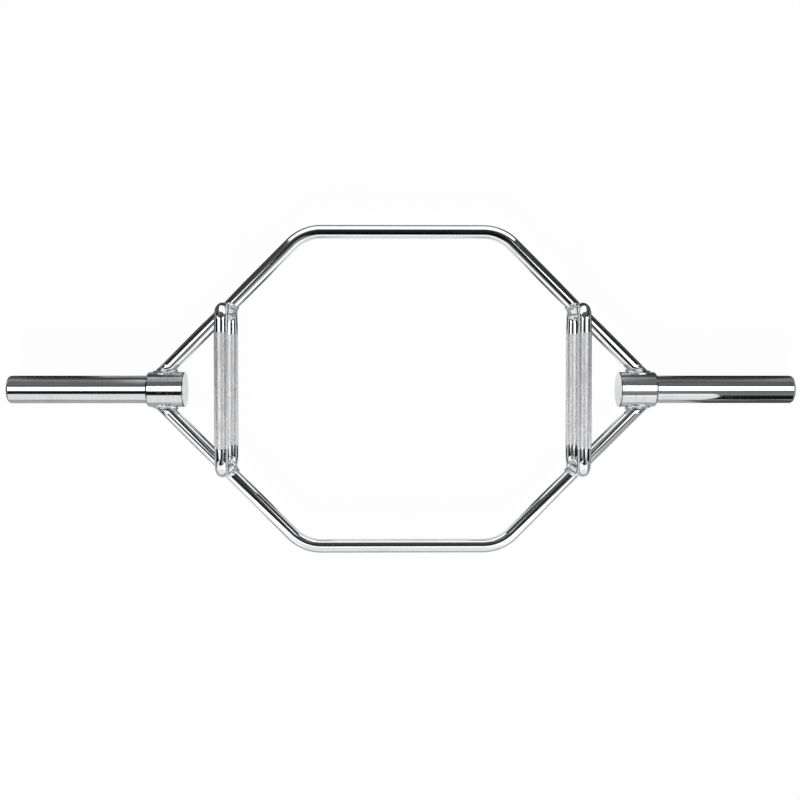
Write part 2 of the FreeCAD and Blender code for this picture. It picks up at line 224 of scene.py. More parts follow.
# heights and depths below are in millimetres
chromeLook = {
    "metal": 1.0, "clean": (0.80, 0.81, 0.82), "dull": (0.66, 0.67, 0.69), "pit": (0.22, 0.21, 0.20),
    "rough": 0.045, "hazeRough": 0.07, "hazeTone": 0.6, "hazeSize": 14.0, "pitSize": 380.0,
    "along": 6.0, "around": 700.0, "lineRough": 0.03, "lineHeight": 0.0008, "lineTone": 0.2,
    "scratchRough": 0.10, "scratchDepth": 0.0012, "waveHeight": 0.010, "pitDepth": 0.02, "pitTone": 0.55,
}
railChrome = plated("railChrome", {**chromeLook, "waveHeight": 0.03})
gripChrome = plated("gripChrome", {**chromeLook, "rough": 0.055, "waveHeight": 0.03})
# the knurl's groove colour darkens towards the bottom of its grooves: painted shade
knurlChrome = plated("knurlChrome", {
    **chromeLook, "metal": 0.90, "clean": (0.92, 0.92, 0.93), "rough": 0.25, "hazeTone": 0.4,
    "hazeSize": 30.0, "groove": (0.50, 0.50, 0.51), "grooveStart": 0.45, "grooveTone": 0.55,
    "waveHeight": 0.0, "scratchDepth": 0.0})
turnedLook = {**chromeLook, "clean": (0.75, 0.76, 0.77), "dull": (0.62, 0.63, 0.65), "around": 5.0,
              "scratchRough": 0.02, "scratchDepth": 0.0}
sleeveChrome = plated("sleeveChrome", {**turnedLook, "along": 700.0, "rough": 0.05, "hazeRough": 0.05,
                                       "lineRough": 0.006, "lineHeight": 0.0001, "waveHeight": 0.014,
                                       "pitDepth": 0.008})
collarChrome = plated("collarChrome", {**turnedLook, "along": 380.0, "rough": 0.075, "lineRough": 0.11,
                                       "lineHeight": 0.0006, "lineTone": 0.9, "hazeSize": 22.0,
                                       "waveHeight": 0.03})
capChrome = plated("capChrome", {**turnedLook, "clean": (0.84, 0.85, 0.86), "along": 900.0, "rough": 0.07,
                                 "lineRough": 0.05, "lineHeight": 0.0008, "hazeSize": 26.0,
                                 "hazeTone": 0.4})
# the bevels' chrome is painted darker than the rest: a painted dark reflection that draws a dark line at
# the collar's and the sleeve's outer edges
bevelPaintedDarkChrome = plated("bevelPaintedDarkChrome", {**turnedLook, "clean": (0.55, 0.55, 0.56), "dull": (0.40, 0.40, 0.41),
                                     "along": 900.0, "rough": 0.06, "hazeSize": 30.0})
weldChrome = plated("weldChrome", {**chromeLook, "rough": 0.08, "hazeSize": 60.0, "waveHeight": 0.05,
                                   "along": 700.0, "around": 90.0, "lineHeight": 0.004, "pitSize": 700.0})


def bareSteel(name, look):
    material = bpy.data.materials.new(name)
    material.use_nodes = True
    tree = material.node_tree
    shader = tree.nodes["Principled BSDF"]
    shader.inputs["Metallic"].default_value = 1.0
    haze = placeGroup(tree, plateHaze, {"Size": look["grain"]})
    tone = blendColour(tree, haze["Mask"], look["clean"], look["burnt"])
    tree.links.new(tone, shader.inputs["Base Color"])
    rough = remap(tree, haze["Mask"], 0.0, 1.0, look["rough"], look["rough"] + look["burntRough"])
    tree.links.new(rough, shader.inputs["Roughness"])
    bump = addNode(tree, "ShaderNodeBump", {"Height": haze["Waves"], "Strength": look["bump"],
                                            "Distance": look["grainHeight"] * millimetre})
    tree.links.new(bump.outputs[0], shader.inputs["Normal"])
    return material


steelLook = {"burntRough": 0.2, "bump": 0.5, "grainHeight": 0.5}
rootWeldSteel = bareSteel("rootWeldSteel", {
    **steelLook, "clean": (0.46, 0.45, 0.44), "burnt": (0.20, 0.16, 0.13), "rough": 0.38, "grain": 320.0})
# near-black steel for the faces inside the gap between cap and collar: both its tones are painted shade in
# the seam
seamPaintedShadeSteel = bareSteel("seamPaintedShadeSteel", {
    **steelLook, "clean": (0.09, 0.09, 0.09), "burnt": (0.03, 0.03, 0.03), "rough": 0.55, "grain": 260.0})
print("finishes:", len(bpy.data.materials))


# mesh helpers

def buildPiece(name, verts, faces, uvs, finishes, nodes,
               normals=None, flat=0, faceFinish=None, groove=None):
    mesh = bpy.data.meshes.new(name)
    mesh.from_pydata([tuple(p) for p in verts], [], faces)
    layer = mesh.uv_layers.new(name="run")
    layer.data.foreach_set("uv", np.asarray([c for face in uvs for c in face], dtype=np.float32).ravel())
    if groove is not None:
        depth = mesh.attributes.new("groove", "FLOAT", "POINT")
        depth.data.foreach_set("value", np.asarray(groove, dtype=np.float32))
    smooth = np.ones(len(faces), dtype=bool)
    smooth[:flat] = False
    mesh.polygons.foreach_set("use_smooth", smooth)
    for finish in finishes:
        mesh.materials.append(finish)
    if faceFinish is not None:
        mesh.polygons.foreach_set("material_index", np.asarray(faceFinish, dtype=np.int32))
    work = bmesh.new()
    work.from_mesh(mesh)
    bmesh.ops.recalc_face_normals(work, faces=work.faces)
    work.to_mesh(mesh)
    work.free()
    if normals is not None:
        mesh.normals_split_custom_set_from_vertices([tuple(n) for n in normals])
    mesh.update()
    piece = bpy.data.objects.new(name, mesh)
    scene.collection.objects.link(piece)
    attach(piece, "root")
    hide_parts(*nodes)
    return piece


def ringFaces(count, columns, first=0, along=None, stride=millimetre, wrap=False):
    faces, uvs = [], []
    for i in range(count if wrap else count - 1):
        here = first + i * columns
        there = first + ((i + 1) % count) * columns
        low, high = (along[i], along[i + 1]) if along is not None else (i * stride, (i + 1) * stride)
        for j in range(columns):
            k = (j + 1) % columns
            faces.append((here + j, here + k, there + k, there + j))
            uvs.append(((low, j), (low, j + 1), (high, j + 1), (high, j)))
    return faces, uvs


def scaleAround(uvs, step):
    return [tuple((u, v * step) for u, v in face) for face in uvs]


def fanFaces(ring, centre):
    faces = [(ring[j], ring[(j + 1) % len(ring)], centre) for j in range(len(ring))]
    return faces, [((0.0, 0.0), (millimetre, 0.0), (0.0, millimetre))] * len(faces)


def runLengths(centres):
    steps = np.linalg.norm(np.diff(centres, axis=0), axis=1)
    return np.concatenate([[0.0], np.cumsum(steps)])


# the two bent rails

railShape = {
    "footX": 0.463,                 # where both rails' lines cross the sleeve axis
    "slope": math.radians(45),
    "bendRadius": 0.075,
    "columns": 80,
    "straightRings": 10,
    "bendRings": 24,
    "slopeRings": 16,
    "lastRing": 0.060,              # whole rings stop here, short of the collar
    "sink": 0.0003,                 # how far the end goes into the collar
}
footX = railShape["footX"]
slope = railShape["slope"]
alongRail = np.array([-math.cos(slope), math.sin(slope)])
awayRail = np.array([math.sin(slope), math.cos(slope)])
cornerX = footX - railY / math.tan(slope)


def railHalf(shape):
    turnRun = shape["bendRadius"] * math.tan(slope / 2)
    bendX = cornerX - turnRun
    spots = [(x, railY, 0.0) for x in np.linspace(0, bendX, shape["straightRings"])]
    for turn in np.linspace(0, slope, shape["bendRings"])[1:]:
        spots.append((bendX + shape["bendRadius"] * math.sin(turn),
                      railY - shape["bendRadius"] * (1 - math.cos(turn)), turn))
    slopeStart = railY / math.sin(slope) - turnRun
    for run in np.linspace(slopeStart, shape["lastRing"], shape["slopeRings"])[1:]:
        spots.append((footX + alongRail[0] * run, alongRail[1] * run, slope))
    return spots


def makeRail(end, flip):
    shape = railShape
    theta = np.linspace(0, 2 * math.pi, shape["columns"], endpoint=False) - math.pi / 2
    across, up = railRadius * np.cos(theta), railRadius * np.sin(theta)
    rings, centres = [], []
    for x, y, turn in railHalf(shape):
        ring = [x + across * math.sin(turn), y + across * math.cos(turn), axisZ + up]
        rings.append(np.stack(ring, axis=1))
        centres.append((x, y))
    seat = np.sqrt((collarRadius - shape["sink"]) ** 2 - up ** 2)
    run = (seat - across * awayRail[1]) / alongRail[1]
    rings.append(np.stack([footX + alongRail[0] * run + across * awayRail[0],
                           alongRail[1] * run + across * awayRail[1], axisZ + up], axis=1))
    centres.append(tuple(np.array([footX, 0]) + alongRail * run.mean()))
    mirror = np.array([-1, 1, 1])
    rings = [ring * mirror for ring in rings[:0:-1]] + rings
    centres = [(-x, y) for x, y in centres[:0:-1]] + centres
    verts = np.concatenate(rings) * np.array([1, flip, 1])
    faces, uvs = ringFaces(len(rings), shape["columns"], along=runLengths(np.array(centres)))
    uvs = scaleAround(uvs, 2 * math.pi * railRadius / shape["columns"])
    for ring in (range(shape["columns"]), range(len(verts) - shape["columns"], len(verts))):
        centre = len(verts)
        verts = np.vstack([verts, verts[list(ring)].mean(axis=0)])
        more, moreUvs = fanFaces(list(ring), centre)
        faces += more
        uvs += moreUvs
    return buildPiece(end + "_rail_bar", verts, faces, uvs, [railChrome], [end + "_rail"])


for end, flip in ends.items():
    makeRail(end, flip)
print("rails done")


# turned pieces: collars, caps, sleeves and plugs

turnedShape = {"columns": 160, "cornerSteps": 6, "onAxis": 0.000001}


def softened(corners, closed, steps):
    spots, facing = [], []
    count = len(corners)
    for i, (x, r, fillet) in enumerate(corners):
        here = np.array([x, r])
        if not closed and i in (0, count - 1):
            spots.append(here)
            facing.append(None)
            continue
        back = np.array(corners[i - 1][:2]) - here
        ahead = np.array(corners[(i + 1) % count][:2]) - here
        back, ahead = back / np.linalg.norm(back), ahead / np.linalg.norm(ahead)
        half = math.acos(np.clip(back @ ahead, -1, 1)) / 2
        middle = (back + ahead) / np.linalg.norm(back + ahead)
        centre = here + middle * fillet / math.sin(half)
        start = here + back * fillet / math.tan(half) - centre
        stop = here + ahead * fillet / math.tan(half) - centre
        sweep = math.atan2(start[0] * stop[1] - start[1] * stop[0], start @ stop)
        for part in np.linspace(0, sweep, steps):
            turned = np.array([start[0] * math.cos(part) - start[1] * math.sin(part),
                               start[0] * math.sin(part) + start[1] * math.cos(part)])
            spots.append(centre + turned)
            convex = np.sign(sweep)
            facing.append(turned / fillet * convex)
    return np.array(spots), facing


def makeTurned(name, corners, closed, side, finish, nodes, special=()):
    columns = turnedShape["columns"]
    spots, facing = softened(corners, closed, turnedShape["cornerSteps"])
    ring = corners + corners[:1] if closed else corners
    area = sum(a[0] * b[1] - b[0] * a[1] for a, b in zip(ring, ring[1:]))
    phi = np.linspace(0, 2 * math.pi, columns, endpoint=False) - math.pi / 2
    across, up = np.cos(phi), np.sin(phi)
    verts, normals, rows = [], [], []
    lengths = runLengths(np.vstack([spots, spots[:1]]))
    for (x, r), face in zip(spots, facing):
        if r < turnedShape["onAxis"]:
            rows.append([len(verts)] * columns)
            verts.append((side * x, 0.0, axisZ))
            normals.append((side * (1 if x == spots[:, 0].max() else -1), 0.0, 0.0))
            continue
        rows.append(list(range(len(verts), len(verts) + columns)))
        verts += list(zip([side * x] * columns, r * across, axisZ + r * up))
        outward = face * np.sign(area)
        normals += list(zip([side * outward[0]] * columns, outward[1] * across, outward[1] * up))
    faces, uvs, finishOf = [], [], []
    step = 2 * math.pi * sleeveRadius / columns
    for i in range(len(rows) if closed else len(rows) - 1):
        here, there = rows[i], rows[(i + 1) % len(rows)]
        low, high = lengths[i], lengths[i + 1]
        reach = [spots[i][0], spots[(i + 1) % len(rows)][0]]
        own = [n for n, (other, start, stop) in enumerate(special, 1)
               if start < min(reach) and max(reach) < stop]
        finishOf += (own or [0])[:1] * columns
        for j in range(columns):
            k = (j + 1) % columns
            corner = [(here[j], (low, j * step)), (here[k], (low, j * step + step)),
                      (there[k], (high, j * step + step)), (there[j], (high, j * step))]
            kept = [c for n, c in enumerate(corner) if c[0] != corner[n - 1][0]]
            faces.append(tuple(c[0] for c in kept))
            uvs.append(tuple(c[1] for c in kept))
    finishes = [finish] + [other for other, start, stop in special]
    return buildPiece(name, verts, faces, uvs, finishes, nodes, normals, faceFinish=finishOf)


capShape = {"flange": 0.0011, "spigot": 0.0254, "round": 0.0006, "edge": 0.0004, "seamEdge": 0.0003}
collarShape = {"bore": 0.02545, "bevelLong": 0.0027, "bevelDeep": 0.0017, "edge": 0.0003,
               "seamEdge": 0.0003, "seamGap": 0.0011}
sleeveShape = {"wall": 0.008, "rim": 0.005, "tipLong": 0.0034, "tipDeep": 0.0021, "tipEdge": 0.0009,
               "edge": 0.0004, "neck": 0.0012}
plugShape = {"chamfer": 0.0008, "edge": 0.0003}

capBack = capLow[0] + capShape["flange"]
seamPlane = capBack + collarShape["seamGap"]


def collarCorners(shape):
    inner, outer = seamPlane, collarHigh[0]
    return [(inner, shape["bore"], shape["edge"]), (inner, collarRadius, shape["seamEdge"]),
            (outer - shape["bevelLong"], collarRadius, shape["edge"]),
            (outer, collarRadius - shape["bevelDeep"], shape["edge"]),
            (outer, shape["bore"], shape["edge"])]


def capCorners(shape):
    face, edge = capLow[0], shape["edge"]
    return [(face, 0.0, 0), (face, collarRadius, shape["round"]),
            (capBack, collarRadius, shape["seamEdge"]), (capBack, shape["spigot"], edge / 2),
            (capHigh[0], shape["spigot"], edge), (capHigh[0], 0.0, 0)]


def sleeveCorners(shape):
    root, tip, edge = sleeveLow[0], sleeveHigh[0], shape["edge"]
    bore, seat, neck = sleeveRadius - shape["wall"], sleeveRadius - shape["rim"], shape["neck"]
    soft = shape["tipEdge"]
    return [(root, bore, edge), (root, rootRadius, edge), (collarHigh[0] - neck, rootRadius, edge),
            (collarHigh[0], sleeveRadius, edge), (tip - shape["tipLong"], sleeveRadius, soft),
            (tip, sleeveRadius - shape["tipDeep"], soft), (tip, seat, edge), (plugLow[0], seat, edge),
            (plugLow[0], bore, edge)]


def plugCorners(shape):
    face, cut, edge = plugHigh[0], shape["chamfer"], shape["edge"]
    return [(plugLow[0], 0.0, 0), (plugLow[0], plugRadius, edge), (face - cut, plugRadius, edge),
            (face, plugRadius - cut, edge), (face, 0.0, 0)]


sameSpot = 0.00001
# the faces in the seam gap get near-black steel, painted shade, and the bevels get darker chrome, a painted
# dark reflection
collarMarks = [(seamPaintedShadeSteel, seamPlane - sameSpot, seamPlane + sameSpot),
               (bevelPaintedDarkChrome, collarHigh[0] - collarShape["bevelLong"], collarHigh[0])]
capMarks = [(seamPaintedShadeSteel, capBack - sameSpot, collarHigh[0])]
sleeveMarks = [(bevelPaintedDarkChrome, sleeveHigh[0] - sleeveShape["tipLong"], sleeveHigh[0])]
for side, sign in sides.items():
    makeTurned(side + "_collar_tube", collarCorners(collarShape), True, sign, collarChrome,
               [side + "_collar"], collarMarks)
    makeTurned(side + "_cap_disc", capCorners(capShape), False, sign, capChrome,
               [side + "_collar_cap"], capMarks)
    makeTurned(side + "_sleeve_tube", sleeveCorners(sleeveShape), True, sign, sleeveChrome,
               [side + "_sleeve"], sleeveMarks)
    makeTurned(side + "_plug_disc", plugCorners(plugShape), False, sign, capChrome,
               [side + "_sleeve_plug"])
print("collars, caps, sleeves and plugs done")


# the knurled grips

gripShape = {
    "diamonds": 44,                    # round the bar
    "diamondAngle": math.radians(30),
    "grooveRadius": 0.01198,
    "flatTop": 0.42,                   # size of a diamond's flat top against its foot
    "smoothRadius": 0.012,
    "knurlHalf": 0.102,
    "runOut": 0.0008,
    "sink": 0.0003,
    "raisedBend": 0.020,
    "legY": 0.141,
    "endGap": 0.004,                   # from the last whole ring to the coped end
    "lowRings": 7,
    "straightRings": 5,
    "bendRings": 25,
    "legRings": 8,
    "cellStep": 0.001,                 # a diamond's place and size in the run map
    "cellSize": 0.0002,
}
gripRadius = gripShape["smoothRadius"]
legY = gripShape["legY"]
columnCount = 2 * gripShape["diamonds"]
gripTheta = np.arange(columnCount) * math.pi / gripShape["diamonds"] - math.pi / 2


def railTopAt(x, y, radius):
    off = (x - footX) * awayRail[0] + np.abs(y) * awayRail[1]
    return axisZ + np.sqrt(np.maximum(radius ** 2 - off ** 2, 0))


def lowGripEnd(shape):
    x, up = lowX + gripRadius * np.cos(gripTheta), gripRadius * np.sin(gripTheta)
    deep = np.sqrt((railRadius - shape["sink"]) ** 2 - up ** 2)
    y = (-deep - (x - footX) * awayRail[0]) / awayRail[1]
    rings = [np.stack([x, np.full_like(x, run), axisZ + up], axis=1)
             for run in np.linspace(shape["knurlHalf"], y.min() - shape["endGap"], shape["lowRings"])]
    return rings + [np.stack([x, y, axisZ + up], axis=1)]


def raisedGripEnd(shape):
    bend = shape["raisedBend"]
    across, out = gripRadius * np.cos(gripTheta), gripRadius * np.sin(gripTheta)
    x = raisedX + across
    rings = [np.stack([x, np.full_like(x, run), raisedTop + out], axis=1)
             for run in np.linspace(shape["knurlHalf"], legY - bend, shape["straightRings"])]
    for turn in np.linspace(0, math.pi / 2, shape["bendRings"])[1:]:
        reach = bend + out
        rings.append(np.stack([x, legY - bend + reach * math.sin(turn),
                               raisedTop - bend + reach * math.cos(turn)], axis=1))
    y = legY + out
    foot = railTopAt(x, y, railRadius - shape["sink"])
    gap = gripRadius - shape["sink"]
    beside = axisZ + np.sqrt(np.maximum(gap ** 2 - (x - lowX) ** 2, 0))
    onLow = (x - footX) * awayRail[0] + y * awayRail[1] < 0
    foot = np.where(onLow, np.maximum(foot, beside), foot)
    for level in np.linspace(raisedTop - bend, foot.max() + shape["endGap"], shape["legRings"])[1:]:
        rings.append(np.stack([x, y, np.full_like(x, level)], axis=1))
    return rings + [np.stack([x, y, foot], axis=1)]


def makeGrip(name, centreX, centreZ, endRings, side, nodes):
    shape = gripShape
    count, half = shape["diamonds"], shape["knurlHalf"]
    width = 2 * math.pi * peakRadius / count
    step = width / math.tan(shape["diamondAngle"]) / 2
    levels = int((half - shape["runOut"]) / step)
    step = (half - shape["runOut"]) / levels

    def spot(level, column, radius):
        angle = column * math.pi / count - math.pi / 2
        return (centreX + radius * math.cos(angle), level * step, centreZ + radius * math.sin(angle))

    verts, groove, crossing, faces, uvs = [], [], {}, [], []
    for k in range(-levels, levels + 1):
        for j in range(k % 2, columnCount, 2):
            crossing[k, j] = len(verts)
            verts.append(spot(k, j, shape["grooveRadius"]))
            groove.append(1.0)
    flat, size = shape["flatTop"], shape["cellSize"]
    for k in range(1 - levels, levels):
        for j in range((k + 1) % 2, columnCount, 2):
            corners = [crossing[k, (j - 1) % columnCount], crossing[k + 1, j],
                       crossing[k, (j + 1) % columnCount], crossing[k - 1, j]]
            top = list(range(len(verts), len(verts) + 4))
            for dk, dj in ((0, -flat), (flat, 0), (0, flat), (-flat, 0)):
                verts.append(spot(k + dk, j + dj, peakRadius))
                groove.append(0.0)
            faces.append(tuple(top))
            for n in range(4):
                m = (n + 1) % 4
                faces.append((corners[n], corners[m], top[m], top[n]))
            u, v = k * step, j * shape["cellStep"]
            uvs += [((u, v), (u, v + size), (u + size, v), (u + size, v + size))] * 5
    flatCount = len(faces)
    around = math.pi * gripRadius / count
    for flip in (1, -1):
        rings = [ring * np.array([1, flip, 1]) for ring in endRings]
        edge = [crossing[flip * levels if (j + levels) % 2 == 0 else flip * (levels - 1), j]
                for j in range(columnCount)]
        first = len(verts)
        for j in range(columnCount):
            k = (j + 1) % columnCount
            faces.append((edge[j], edge[k], first + k, first + j))
            uvs.append(((half - step, j * around), (half - step, j * around + around),
                        (half, j * around + around), (half, j * around)))
        lengths = half + runLengths(np.array([ring.mean(axis=0) for ring in rings]))
        more, moreUvs = ringFaces(len(rings), columnCount, first, along=lengths)
        faces += more
        uvs += scaleAround(moreUvs, around)
        for ring in rings:
            verts += [tuple(p) for p in ring]
            groove += [0.0] * columnCount
        last = list(range(len(verts) - columnCount, len(verts)))
        verts.append(tuple(rings[-1].mean(axis=0)))
        groove.append(0.0)
        more, moreUvs = fanFaces(last, len(verts) - 1)
        faces += more
        uvs += moreUvs
    verts = np.array(verts) * np.array([side, 1, 1])
    finishOf = np.ones(len(faces), dtype=int)
    finishOf[:flatCount] = 0
    return buildPiece(name, verts, faces, uvs, [knurlChrome, gripChrome], nodes,
                      flat=flatCount, faceFinish=finishOf, groove=groove)


for side, sign in sides.items():
    lowEnd, raisedEnd = lowGripEnd(gripShape), raisedGripEnd(gripShape)
    makeGrip(side + "_low_grip_bar", lowX, axisZ, lowEnd, sign, [side + "_low_grip"])
    makeGrip(side + "_raised_grip_bar", raisedX, raisedTop, raisedEnd, sign, [side + "_raised_grip"])
print("grips done")


# weld beads

def firstHit(starts, heading, tubes):
    reach = np.full(len(starts), np.inf)
    which = np.zeros(len(starts), dtype=int)
    for i, (point, axis, radius) in enumerate(tubes):
        flatHeading = heading - axis * (heading @ axis)
        off = starts - point
        off = off - np.outer(off @ axis, axis)
        a, b, c = flatHeading @ flatHeading, 2 * off @ flatHeading, (off * off).sum(axis=1) - radius ** 2
        room = b * b - 4 * a * c
        run = np.where(room > 0, (-b - np.sqrt(np.maximum(room, 0))) / (2 * a), np.inf)
        closer = run < reach
        reach[closer], which[closer] = run[closer], i
    return starts + np.outer(reach, heading), which


def tubeNormal(points, which, tubes):
    normals = np.zeros_like(points)
    for i, (point, axis, radius) in enumerate(tubes):
        off = points - point
        off = off - np.outer(off @ axis, axis)
        own = which == i
        normals[own] = off[own] / np.linalg.norm(off[own], axis=1)[:, None]
    return normals


def ontoTubes(points, which, tubes):
    moved = points.copy()
    for i, (point, axis, radius) in enumerate(tubes):
        off = moved - point
        off = off - np.outer(off @ axis, axis)
        size = np.linalg.norm(off, axis=1)
        own = (which == i) | (size < radius)
        moved[own] += off[own] * (radius / size[own] - 1)[:, None]
    return moved


def rounded(values, reach):
    weights = np.exp(-0.5 * (np.arange(-3 * reach, 3 * reach + 1) / reach) ** 2)
    weights = weights / weights.sum()
    padded = np.concatenate([values[-3 * reach:], values, values[:3 * reach]])
    return np.stack([np.convolve(column, weights, "valid") for column in padded.T], axis=1)


def unit(vectors):
    return vectors / np.linalg.norm(vectors, axis=-1, keepdims=True)


weldShape = {
    "leg": 0.0042,              # where the two metals meet square
    "wideSide": 0.58,           # share of the leg where the bar leans away from the weld
    "tightSide": 1.40,          # and where it leans over it
    "crown": 0.0011,            # how far the bead bulges
    "ripple": 0.0026,           # length of one ripple
    "rippleHeight": 0.00042,
    "lump": 0.00050,            # uneven height along the bead
    "wander": 0.13,             # uneven width along the bead
    "spacing": 0.00036,
    "profile": 12,
    "sink": 0.00025,
    "rootSink": 0.0012,
    "rootSteps": 720,
    "castFrom": 0.09,           # how far up the bar the search for the root starts
    "leanMost": 0.7,
    "wanderWaves": (3, 22),
    "lumpWaves": (4, 26),
    "smoothing": 5,
    "sway": 0.22,               # uneven spacing of the ripples
    "bellPower": 0.8,
    "rippleLag": 0.55,          # how far a ripple's middle runs ahead of its ends
    "scallop": 0.92,
    "scallopBase": 0.6,
    "runStep": 0.0006,
}


def makeWeld(name, branch, tubes, seed, node, heavy=1.0):
    shape = weldShape
    point, away, first, second, radius = branch
    theta = np.linspace(0, 2 * math.pi, shape["rootSteps"], endpoint=False)
    around = np.outer(np.cos(theta), first) + np.outer(np.sin(theta), second)
    root, which = firstHit(point + around * radius + away * shape["castFrom"], -away, tubes)
    facing = tubeNormal(root, which, tubes)
    spread = unit(around - facing * (around * facing).sum(axis=1)[:, None])
    lean = spread @ away
    draw = np.random.default_rng(seed)

    def uneven(lowest, highest):
        total = np.zeros_like(theta)
        for n in range(lowest, highest):
            total += draw.normal() * np.cos(n * theta + draw.uniform(0, 2 * math.pi)) / math.sqrt(n)
        return total / np.abs(total).max()

    most = shape["leanMost"]
    share = np.interp(lean, [-most, 0, most], [shape["wideSide"], 1, shape["tightSide"]])
    leg = shape["leg"] * heavy * share
    upper = root + np.outer(leg * (1 + shape["wander"] * uneven(*shape["wanderWaves"])), away)
    lower = root + spread * (leg * (1 + shape["wander"] * uneven(*shape["wanderWaves"])))[:, None]
    lower = ontoTubes(lower, which, tubes)
    lump = uneven(*shape["lumpWaves"]) * shape["lump"]
    stack = np.concatenate([root, upper, lower, around, facing, lump[:, None]], axis=1)
    stack = rounded(stack, shape["smoothing"])
    middle = (stack[:, 3:6] + stack[:, 6:9]) / 2
    lengths = runLengths(np.vstack([middle, middle[:1]]))
    count = int(lengths[-1] / shape["spacing"])
    run = np.arange(count) * lengths[-1] / count
    looped = np.vstack([stack, stack[:1]])
    stack = np.stack([np.interp(run, lengths, looped[:, c]) for c in range(looped.shape[1])], axis=1)
    root, upper, lower = stack[:, 0:3], stack[:, 3:6], stack[:, 6:9]
    around, facing, lump = unit(stack[:, 9:12]), unit(stack[:, 12:15]), stack[:, 15]
    out = unit(around + facing)
    ripples = round(lengths[-1] / shape["ripple"])
    beat = run / lengths[-1] * ripples
    sway = draw.uniform(-shape["sway"], shape["sway"], ripples)
    beat = beat + np.interp(beat, np.arange(ripples + 1), np.append(sway, sway[0]))
    control = (upper + lower) / 2 + out * (shape["crown"] * heavy * 2)
    rows = []
    for v in np.linspace(0, 1, shape["profile"]):
        line = (1 - v) ** 2 * upper + 2 * v * (1 - v) * control + v ** 2 * lower
        bell = math.sin(math.pi * v) ** shape["bellPower"]
        phase = (beat + shape["rippleLag"] * bell) % 1
        scallop = np.sqrt(1 - shape["scallop"] * (2 * phase - 1) ** 2)
        ripple = shape["rippleHeight"] * (scallop - shape["scallopBase"])
        rows.append(line + out * (bell * (ripple + lump))[:, None])
    rows[0] = rows[0] - around * shape["sink"]
    rows[-1] = rows[-1] - facing * shape["sink"]
    rows.append(root - out * shape["rootSink"])
    verts = np.stack(rows, axis=1).reshape(-1, 3)
    faces, uvs = ringFaces(count, len(rows), stride=shape["spacing"], wrap=True)
    uvs = scaleAround(uvs, shape["runStep"])
    return buildPiece(name, verts, faces, uvs, [weldChrome], [node])


def tube(x, y, z, axis, radius):
    return np.array([x, y, z]), unit(np.array(axis, dtype=float)), radius


weldWeight = {"collar": 1.25, "lowGrip": 1.3, "raisedGrip": 1.1}
gripSpot = 0.12                 # a point inside the low grip, near its end
seed = 3
upAxis = np.array([0.0, 0.0, 1.0])
for side, sign in sides.items():
    for end, flip in ends.items():
        spot = side + "_" + end
        away = np.array([sign * alongRail[0], flip * alongRail[1], 0.0])
        out = np.array([sign * awayRail[0], flip * awayRail[1], 0.0])
        collarTube = tube(0, 0, axisZ, (1, 0, 0), collarRadius)
        railTube = tube(sign * footX, 0, axisZ, away, railRadius)
        gripTube = tube(sign * lowX, 0, axisZ, (0, 1, 0), gripRadius)
        railBranch = (railTube[0], away, out, upAxis, railRadius)
        makeWeld(spot + "_collar_bead", railBranch, [collarTube], seed,
                 spot + "_collar_weld", weldWeight["collar"])
        gripBranch = (gripTube[0] + np.array([0, flip * gripSpot, 0]), np.array([0.0, -flip, 0.0]),
                      np.array([1.0, 0.0, 0.0]), upAxis, gripRadius)
        makeWeld(spot + "_low_grip_bead", gripBranch, [railTube], seed + 1,
                 spot + "_low_grip_weld", weldWeight["lowGrip"])
        legBranch = (np.array([sign * raisedX, flip * legY, axisZ]), upAxis, np.array([1.0, 0.0, 0.0]),
                     np.array([0.0, 1.0, 0.0]), gripRadius)
        makeWeld(spot + "_raised_grip_bead", legBranch, [railTube, gripTube], seed + 2,
                 spot + "_raised_grip_weld", weldWeight["raisedGrip"])
        seed += 3
print("weld beads done")


# the hidden root welds keep their CAD solids

for side in sides:
    weldNode = frame["nodes"][side + "_sleeve_root_weld"]
    weldNode.data.materials.clear()
    weldNode.data.materials.append(rootWeldSteel)
print("root welds finished")


# floor, studio and camera

floorLook = {"size": 14.0, "paper": (0.74, 0.74, 0.74), "shade": (0.08, 0.08, 0.08), "seen": 0.98,
             "mirrored": 0.7, "mirrorStart": 0.6, "grainSize": 60.0, "grainShade": 0.97}
